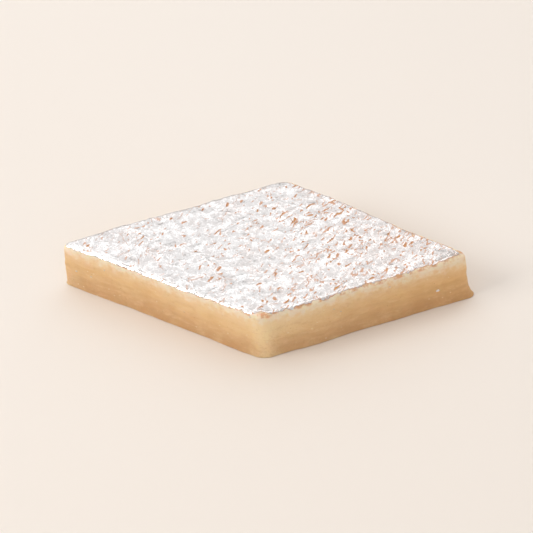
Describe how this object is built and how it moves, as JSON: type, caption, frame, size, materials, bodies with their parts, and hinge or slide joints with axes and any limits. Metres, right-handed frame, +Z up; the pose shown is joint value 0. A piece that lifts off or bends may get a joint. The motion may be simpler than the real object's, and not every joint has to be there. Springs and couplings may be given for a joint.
{
  "type": "barfi",
  "caption": "Flat diamond of cashew barfi: a pale milk fudge slab with rounded edges, topped with crumpled silver leaf.",
  "frame": {"origin": "centre of the flat base, on the surface that the piece rests on", "axes": "+X along the long diagonal of the diamond, towards the tip whose cut sides meet the shorter half; +Z up, through the silver leaf"},
  "size_m": [0.0712, 0.035, 0.01],
  "materials": {
    "cashew_fudge": "dense waxy milk and cashew fudge, satin on its cut sides, slightly translucent",
    "silver_leaf": "finely crumpled edible silver leaf, torn and worn through in small spots"
  },
  "bodies": {
    "root": {"barfi_slab": "cashew_fudge", "silver_leaf": "silver_leaf"}
  },
  "joints": []
}
